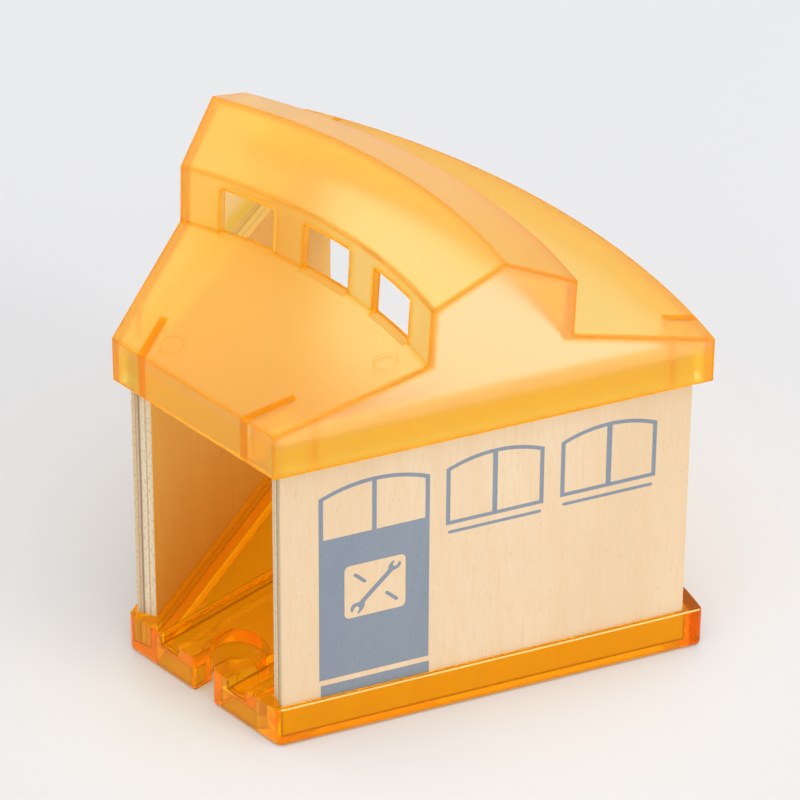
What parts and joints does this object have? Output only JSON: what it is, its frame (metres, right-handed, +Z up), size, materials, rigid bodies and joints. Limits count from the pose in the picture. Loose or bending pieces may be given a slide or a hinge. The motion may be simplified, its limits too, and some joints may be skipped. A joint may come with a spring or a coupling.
{
  "type": "toy railway engine shed",
  "caption": "Wedge-shaped engine shed for a wooden toy railway: moulded track base, plywood side walls standing in slots and a lift-off translucent roof with a clerestory.",
  "frame": {"origin": "centre of the shed's box on the ground, under the track's centre line", "axes": "+Z up, +Y along the track from the front opening to the curved back, +X towards the side wall on the right seen from the front"},
  "size_m": [0.1594, 0.1312, 0.144],
  "materials": {
    "clear_orange_plastic": "clear and glossy",
    "frosted_orange_plastic": "frosted, satin",
    "birch_plywood": "sanded, clear matt lacquer",
    "grey_blue_ink": "screen-printed, matt"
  },
  "bodies": {
    "base": {"track_base": "clear_orange_plastic"},
    "right_side": {"right_wall": "birch_plywood"},
    "left_side": {"left_wall": "birch_plywood"},
    "roof": {"roof": "frosted_orange_plastic"}
  },
  "joints": [
    {"name": "walls_lift", "type": "slide", "parent": "base", "child": "right_side", "axis": [0, 0, 1], "range_m": [0, 0.015]},
    {"name": "left_wall_lift", "type": "slide", "parent": "base", "child": "left_side", "axis": [0, 0, 1], "range_m": [0, 0.015]},
    {"name": "roof_lift", "type": "slide", "parent": "right_side", "child": "roof", "axis": [0, 0, 1], "range_m": [0, 0.03]}
  ],
  "couplings": [
    {"joint": "left_wall_lift", "follows": "walls_lift", "ratio": 1}
  ]
}
